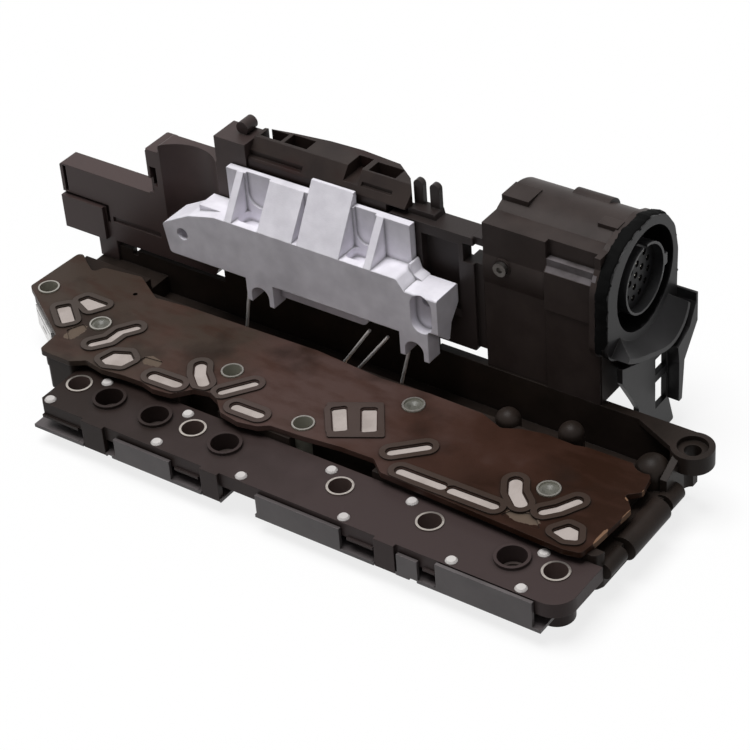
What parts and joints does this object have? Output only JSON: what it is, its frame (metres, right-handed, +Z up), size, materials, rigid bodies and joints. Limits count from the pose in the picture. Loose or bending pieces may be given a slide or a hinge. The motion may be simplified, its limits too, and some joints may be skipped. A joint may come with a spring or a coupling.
{
  "type": "transmission control module",
  "caption": "Electro-hydraulic transmission control module with switch strip, filter plate over solenoid valves, cast heat sink and round connector tower.",
  "frame": {"origin": "under the middle of the overall box, level with the feet", "axes": "+X along the switch strip towards the connector, +Y from the switch strip towards the electronics, +Z up"},
  "size_m": [0.3754, 0.177, 0.1234],
  "materials": {
    "dark_plastic": "moulded, slightly glossy",
    "strip_plastic": "moulded",
    "cover_plastic": "moulded",
    "plate_plastic": "moulded",
    "mesh": "fine woven mesh",
    "rubber": "matte",
    "steel": "turned",
    "sleeve_metal": "turned",
    "white_plastic": "moulded",
    "cast": "as cast",
    "copper": "stamped",
    "board": "coated laminate",
    "chip": "moulded",
    "pad": "soft",
    "cable": "thin film",
    "insert": "moulded",
    "pin_metal": "plated"
  },
  "bodies": {
    "module": {"board_chips": "chip", "board_screws": "steel", "carrier": "dark_plastic", "connector_board": "board", "connector_face": "dark_plastic", "connector_insert": "insert", "connector_pins": "pin_metal", "connector_shroud": "dark_plastic", "connector_tower": "dark_plastic", "control_board": "board", "edge_clip": "white_plastic", "face_gasket": "rubber", "filter_plate": "plate_plastic", "filter_screens": "mesh", "flex_cable": "cable", "frame_screw": "steel", "heat_sink": "cast", "heat_stakes": "white_plastic", "housing": "dark_plastic", "lead_pins": "steel", "lead_tracks": "copper", "plate_ferrules": "sleeve_metal", "plate_rivets": "steel", "plate_seals": "rubber", "retainer_screws": "steel", "return_spring_1": "steel", "return_spring_2": "steel", "return_spring_3": "steel", "return_spring_4": "steel", "return_spring_5": "steel", "return_spring_6": "steel", "return_spring_7": "steel", "sink_gasket": "rubber", "solenoid_cans": "steel", "solenoid_coils": "copper", "strip_cover": "cover_plastic", "strip_sleeves": "sleeve_metal", "switch_discs": "steel", "switch_seals": "rubber", "switch_strip": "strip_plastic", "thermal_pads": "pad", "top_cover": "dark_plastic", "tower_bracket": "dark_plastic", "valve_retainer": "steel", "valve_seats": "steel"},
    "armature_1": {"armature_1": "steel"},
    "armature_2": {"armature_2": "steel"},
    "armature_3": {"armature_3": "steel"},
    "armature_4": {"armature_4": "steel"},
    "armature_5": {"armature_5": "steel"},
    "armature_6": {"armature_6": "steel"},
    "armature_7": {"armature_7": "steel"}
  },
  "joints": [
    {"name": "armature_slide_1", "type": "slide", "parent": "module", "child": "armature_1", "axis": [0, 0, 1], "range_m": [0, 0.0008], "stiffness_N_per_m": 2000, "deforming": ["return_spring_1"]},
    {"name": "armature_slide_2", "type": "slide", "parent": "module", "child": "armature_2", "axis": [0, 0, 1], "range_m": [0, 0.0008], "stiffness_N_per_m": 2000, "deforming": ["return_spring_2"]},
    {"name": "armature_slide_3", "type": "slide", "parent": "module", "child": "armature_3", "axis": [0, 0, 1], "range_m": [0, 0.0008], "stiffness_N_per_m": 2000, "deforming": ["return_spring_3"]},
    {"name": "armature_slide_4", "type": "slide", "parent": "module", "child": "armature_4", "axis": [0, 0, 1], "range_m": [0, 0.0008], "stiffness_N_per_m": 2000, "deforming": ["return_spring_4"]},
    {"name": "armature_slide_5", "type": "slide", "parent": "module", "child": "armature_5", "axis": [0, 0, 1], "range_m": [0, 0.0008], "stiffness_N_per_m": 2000, "deforming": ["return_spring_5"]},
    {"name": "armature_slide_6", "type": "slide", "parent": "module", "child": "armature_6", "axis": [0, 0, 1], "range_m": [0, 0.0008], "stiffness_N_per_m": 2000, "deforming": ["return_spring_6"]},
    {"name": "armature_slide_7", "type": "slide", "parent": "module", "child": "armature_7", "axis": [0, 0, 1], "range_m": [0, 0.0008], "stiffness_N_per_m": 2000, "deforming": ["return_spring_7"]}
  ]
}
